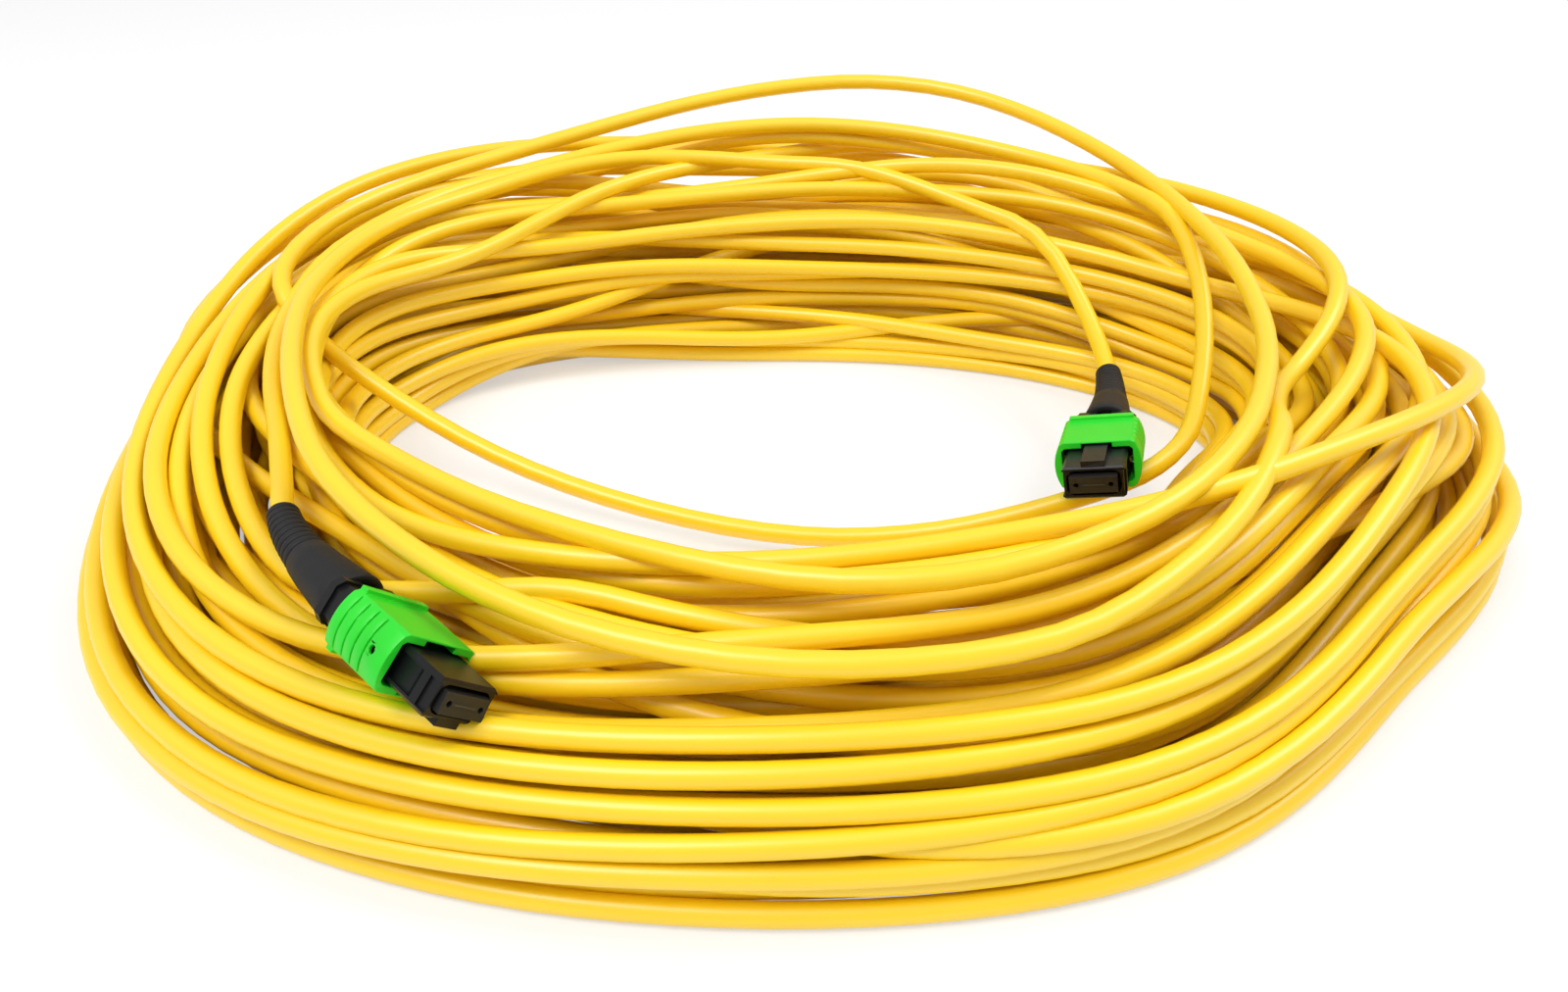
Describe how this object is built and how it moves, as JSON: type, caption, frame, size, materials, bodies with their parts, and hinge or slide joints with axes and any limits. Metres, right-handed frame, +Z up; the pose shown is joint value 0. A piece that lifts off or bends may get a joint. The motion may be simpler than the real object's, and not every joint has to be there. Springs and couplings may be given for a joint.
{
  "type": "fibre optic trunk cable",
  "caption": "Loose oval nest of yellow fibre optic trunk cable with a green push-pull multi-fibre plug and a ribbed bend-relief boot on each end.",
  "frame": {"origin": "on the floor under the middle of the nest", "axes": "+Z up, +X along the nest's longer side to the right as pictured, +Y to the back"},
  "size_m": [0.21, 0.186, 0.0417],
  "materials": {
    "cable_jacket": "smooth satin jacket",
    "sleeve_plastic": "semi-gloss moulded",
    "housing_plastic": "fine satin moulded",
    "ferrule_resin": "polished face",
    "soft_boot": "soft",
    "keeper_metal": "plain",
    "spring_wire": "bright wire",
    "crimp_metal": "plain",
    "boot_rubber": "matt",
    "fibre": "clear coat"
  },
  "bodies": {
    "cable": {"cable_coil": "cable_jacket", "lead_a": "cable_jacket", "lead_b": "cable_jacket", "crossing_turn": "cable_jacket", "stray_turn": "cable_jacket", "inner_housing_a": "housing_plastic", "ferrule_spring_a": "spring_wire", "sleeve_springs_a": "spring_wire", "back_post_a": "housing_plastic", "crimp_ring_a": "crimp_metal", "boot_a": "boot_rubber", "inner_housing_b": "housing_plastic", "ferrule_spring_b": "spring_wire", "sleeve_springs_b": "spring_wire", "back_post_b": "housing_plastic", "crimp_ring_b": "crimp_metal", "boot_b": "boot_rubber"},
    "sleeve_a": {"sleeve_a": "sleeve_plastic"},
    "ferrule_a": {"ferrule_a": "ferrule_resin", "ferrule_boot_a": "soft_boot", "pin_keeper_a": "keeper_metal", "fibre_ribbon_a": "fibre"},
    "sleeve_b": {"sleeve_b": "sleeve_plastic"},
    "ferrule_b": {"ferrule_b": "ferrule_resin", "ferrule_boot_b": "soft_boot", "pin_keeper_b": "keeper_metal", "fibre_ribbon_b": "fibre"}
  },
  "joints": [
    {"name": "sleeve_slide_a", "type": "slide", "parent": "cable", "child": "sleeve_a", "axis": [-0.7135, 0.7005, 0.017], "range_m": [0, 0.0024], "stiffness_N_per_m": 1200, "springref_m": -0.0008, "deforming": ["sleeve_springs_a"]},
    {"name": "ferrule_float_a", "type": "slide", "parent": "cable", "child": "ferrule_a", "axis": [-0.7135, 0.7005, 0.017], "range_m": [0, 0.0008], "stiffness_N_per_m": 2000, "springref_m": -0.0015, "deforming": ["ferrule_spring_a"]},
    {"name": "sleeve_slide_b", "type": "slide", "parent": "cable", "child": "sleeve_b", "axis": [0.3211, 0.9303, -0.1771], "range_m": [0, 0.0024], "stiffness_N_per_m": 1200, "springref_m": -0.0008, "deforming": ["sleeve_springs_b"]},
    {"name": "ferrule_float_b", "type": "slide", "parent": "cable", "child": "ferrule_b", "axis": [0.3211, 0.9303, -0.1771], "range_m": [0, 0.0008], "stiffness_N_per_m": 2000, "springref_m": -0.0015, "deforming": ["ferrule_spring_b"]}
  ]
}
